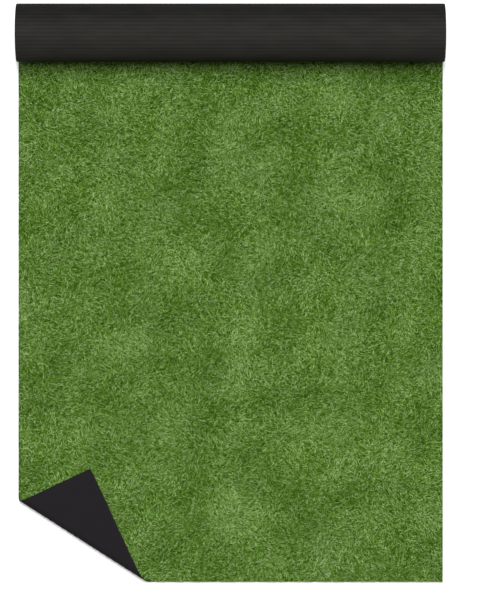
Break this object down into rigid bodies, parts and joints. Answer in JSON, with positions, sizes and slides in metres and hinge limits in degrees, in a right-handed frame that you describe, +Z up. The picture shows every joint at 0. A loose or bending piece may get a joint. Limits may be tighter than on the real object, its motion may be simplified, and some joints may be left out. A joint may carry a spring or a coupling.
{
  "type": "golf hitting mat",
  "caption": "Artificial turf hitting mat on a rubber backing, lying flat with its far end rolled up and one near corner folded over.",
  "frame": {"origin": "on the ground, at the middle of the mat's bounding box as it lies with one end rolled up", "axes": "+X across the mat, +Y along the mat towards the roll, +Z up from the ground"},
  "size_m": [1.0011, 1.3589, 0.1436],
  "materials": {
    "pile": "matt synthetic grass fibres",
    "rubber_backing": "matt black with fine cross ribs",
    "woven_backing": "matt black tape weave"
  },
  "bodies": {
    "field": {"field_rubber_backing": "rubber_backing", "field_woven_backing": "woven_backing", "field_pile": "pile"},
    "roll_01": {"roll_backing_01": "rubber_backing", "roll_pile_01": "pile"},
    "roll_02": {"roll_backing_02": "rubber_backing", "roll_pile_02": "pile"},
    "roll_03": {"roll_backing_03": "rubber_backing", "roll_pile_03": "pile"},
    "roll_04": {"roll_backing_04": "rubber_backing", "roll_pile_04": "pile"},
    "roll_05": {"roll_backing_05": "rubber_backing", "roll_pile_05": "pile"},
    "roll_06": {"roll_backing_06": "rubber_backing", "roll_pile_06": "pile"},
    "roll_07": {"roll_backing_07": "rubber_backing", "roll_pile_07": "pile"},
    "roll_08": {"roll_backing_08": "rubber_backing", "roll_pile_08": "pile"},
    "roll_09": {"roll_backing_09": "rubber_backing", "roll_pile_09": "pile"},
    "roll_10": {"roll_backing_10": "rubber_backing", "roll_pile_10": "pile"},
    "roll_11": {"roll_backing_11": "rubber_backing", "roll_pile_11": "pile"},
    "roll_12": {"roll_backing_12": "rubber_backing", "roll_pile_12": "pile"},
    "roll_13": {"roll_backing_13": "rubber_backing", "roll_pile_13": "pile"},
    "roll_14": {"roll_backing_14": "rubber_backing", "roll_pile_14": "pile"},
    "roll_15": {"roll_backing_15": "rubber_backing", "roll_pile_15": "pile"},
    "roll_16": {"roll_backing_16": "rubber_backing", "roll_pile_16": "pile"},
    "roll_17": {"roll_backing_17": "rubber_backing", "roll_pile_17": "pile"},
    "roll_18": {"roll_backing_18": "rubber_backing", "roll_pile_18": "pile"},
    "roll_19": {"roll_backing_19": "rubber_backing", "roll_pile_19": "pile"},
    "roll_20": {"roll_backing_20": "rubber_backing", "roll_pile_20": "pile"},
    "roll_21": {"roll_backing_21": "rubber_backing", "roll_pile_21": "pile"},
    "roll_22": {"roll_backing_22": "rubber_backing", "roll_pile_22": "pile"},
    "fold_1": {"fold_backing_1": "rubber_backing", "fold_pile_1": "pile"},
    "fold_2": {"fold_backing_2": "rubber_backing", "fold_pile_2": "pile"},
    "fold_3": {"fold_backing_3": "rubber_backing", "fold_pile_3": "pile"},
    "corner": {"corner_rubber_backing": "rubber_backing", "corner_woven_backing": "woven_backing", "corner_pile": "pile"}
  },
  "joints": [
    {"name": "unroll_01", "type": "hinge", "parent": "field", "child": "roll_01", "pos_m": [0, 0.62386, 0.003], "axis": [-1, 0, 0], "range_deg": [0, 30]},
    {"name": "unroll_02", "type": "hinge", "parent": "roll_01", "child": "roll_02", "pos_m": [0, 0.65684, 0.02204], "axis": [-1, 0, 0], "range_deg": [0, 30]},
    {"name": "unroll_03", "type": "hinge", "parent": "roll_02", "child": "roll_03", "pos_m": [0, 0.67558, 0.0545], "axis": [-1, 0, 0], "range_deg": [0, 30]},
    {"name": "unroll_04", "type": "hinge", "parent": "roll_03", "child": "roll_04", "pos_m": [0, 0.67558, 0.09137], "axis": [-1, 0, 0], "range_deg": [0, 30]},
    {"name": "unroll_05", "type": "hinge", "parent": "roll_04", "child": "roll_05", "pos_m": [0, 0.65745, 0.12277], "axis": [-1, 0, 0], "range_deg": [0, 30]},
    {"name": "unroll_06", "type": "hinge", "parent": "roll_05", "child": "roll_06", "pos_m": [0, 0.62657, 0.1406], "axis": [-1, 0, 0], "range_deg": [0, 30]},
    {"name": "unroll_07", "type": "hinge", "parent": "roll_06", "child": "roll_07", "pos_m": [0, 0.59152, 0.1406], "axis": [-1, 0, 0], "range_deg": [0, 30]},
    {"name": "unroll_08", "type": "hinge", "parent": "roll_07", "child": "roll_08", "pos_m": [0, 0.5617, 0.12338], "axis": [-1, 0, 0], "range_deg": [0, 30]},
    {"name": "unroll_09", "type": "hinge", "parent": "roll_08", "child": "roll_09", "pos_m": [0, 0.54478, 0.09408], "axis": [-1, 0, 0], "range_deg": [0, 30]},
    {"name": "unroll_10", "type": "hinge", "parent": "roll_09", "child": "roll_10", "pos_m": [0, 0.54478, 0.06085], "axis": [-1, 0, 0], "range_deg": [0, 30]},
    {"name": "unroll_11", "type": "hinge", "parent": "roll_10", "child": "roll_11", "pos_m": [0, 0.56109, 0.03261], "axis": [-1, 0, 0], "range_deg": [0, 30]},
    {"name": "unroll_12", "type": "hinge", "parent": "roll_11", "child": "roll_12", "pos_m": [0, 0.58881, 0.0166], "axis": [-1, 0, 0], "range_deg": [0, 30]},
    {"name": "unroll_13", "type": "hinge", "parent": "roll_12", "child": "roll_13", "pos_m": [0, 0.62021, 0.0166], "axis": [-1, 0, 0], "range_deg": [0, 30]},
    {"name": "unroll_14", "type": "hinge", "parent": "roll_13", "child": "roll_14", "pos_m": [0, 0.64689, 0.032], "axis": [-1, 0, 0], "range_deg": [0, 30]},
    {"name": "unroll_15", "type": "hinge", "parent": "roll_14", "child": "roll_15", "pos_m": [0, 0.66198, 0.05814], "axis": [-1, 0, 0], "range_deg": [0, 30]},
    {"name": "unroll_16", "type": "hinge", "parent": "roll_15", "child": "roll_16", "pos_m": [0, 0.66198, 0.08772], "axis": [-1, 0, 0], "range_deg": [0, 30]},
    {"name": "unroll_17", "type": "hinge", "parent": "roll_16", "child": "roll_17", "pos_m": [0, 0.64749, 0.11282], "axis": [-1, 0, 0], "range_deg": [0, 30]},
    {"name": "unroll_18", "type": "hinge", "parent": "roll_17", "child": "roll_18", "pos_m": [0, 0.62293, 0.127], "axis": [-1, 0, 0], "range_deg": [0, 30]},
    {"name": "unroll_19", "type": "hinge", "parent": "roll_18", "child": "roll_19", "pos_m": [0, 0.59517, 0.127], "axis": [-1, 0, 0], "range_deg": [0, 30]},
    {"name": "unroll_20", "type": "hinge", "parent": "roll_19", "child": "roll_20", "pos_m": [0, 0.57165, 0.11342], "axis": [-1, 0, 0], "range_deg": [0, 30]},
    {"name": "unroll_21", "type": "hinge", "parent": "roll_20", "child": "roll_21", "pos_m": [0, 0.55838, 0.09044], "axis": [-1, 0, 0], "range_deg": [0, 30]},
    {"name": "unroll_22", "type": "hinge", "parent": "roll_21", "child": "roll_22", "pos_m": [0, 0.55838, 0.0645], "axis": [-1, 0, 0], "range_deg": [0, 30]},
    {"name": "corner_unfold_1", "type": "hinge", "parent": "field", "child": "fold_1", "pos_m": [-0.40752, -0.53339, 0.003], "axis": [0.8434, -0.5372, 0], "range_deg": [0, 45]},
    {"name": "corner_unfold_2", "type": "hinge", "parent": "fold_1", "child": "fold_2", "pos_m": [-0.41094, -0.53875, 0.00936], "axis": [0.8434, -0.5372, 0], "range_deg": [0, 45]},
    {"name": "corner_unfold_3", "type": "hinge", "parent": "fold_2", "child": "fold_3", "pos_m": [-0.41094, -0.53875, 0.01834], "axis": [0.8434, -0.5372, 0], "range_deg": [0, 45]},
    {"name": "corner_unfold_4", "type": "hinge", "parent": "fold_3", "child": "corner", "pos_m": [-0.40752, -0.53339, 0.0247], "axis": [0.8434, -0.5372, 0], "range_deg": [0, 45]}
  ],
  "couplings": [
    {"joint": "unroll_02", "follows": "unroll_01", "ratio": 1},
    {"joint": "unroll_03", "follows": "unroll_01", "ratio": 1},
    {"joint": "unroll_04", "follows": "unroll_01", "ratio": 1},
    {"joint": "unroll_05", "follows": "unroll_01", "ratio": 1},
    {"joint": "unroll_06", "follows": "unroll_01", "ratio": 1},
    {"joint": "unroll_07", "follows": "unroll_01", "ratio": 1},
    {"joint": "unroll_08", "follows": "unroll_01", "ratio": 1},
    {"joint": "unroll_09", "follows": "unroll_01", "ratio": 1},
    {"joint": "unroll_10", "follows": "unroll_01", "ratio": 1},
    {"joint": "unroll_11", "follows": "unroll_01", "ratio": 1},
    {"joint": "unroll_12", "follows": "unroll_01", "ratio": 1},
    {"joint": "unroll_13", "follows": "unroll_01", "ratio": 1},
    {"joint": "unroll_14", "follows": "unroll_01", "ratio": 1},
    {"joint": "unroll_15", "follows": "unroll_01", "ratio": 1},
    {"joint": "unroll_16", "follows": "unroll_01", "ratio": 1},
    {"joint": "unroll_17", "follows": "unroll_01", "ratio": 1},
    {"joint": "unroll_18", "follows": "unroll_01", "ratio": 1},
    {"joint": "unroll_19", "follows": "unroll_01", "ratio": 1},
    {"joint": "unroll_20", "follows": "unroll_01", "ratio": 1},
    {"joint": "unroll_21", "follows": "unroll_01", "ratio": 1},
    {"joint": "unroll_22", "follows": "unroll_01", "ratio": 1},
    {"joint": "corner_unfold_2", "follows": "corner_unfold_1", "ratio": 1},
    {"joint": "corner_unfold_3", "follows": "corner_unfold_1", "ratio": 1},
    {"joint": "corner_unfold_4", "follows": "corner_unfold_1", "ratio": 1}
  ]
}
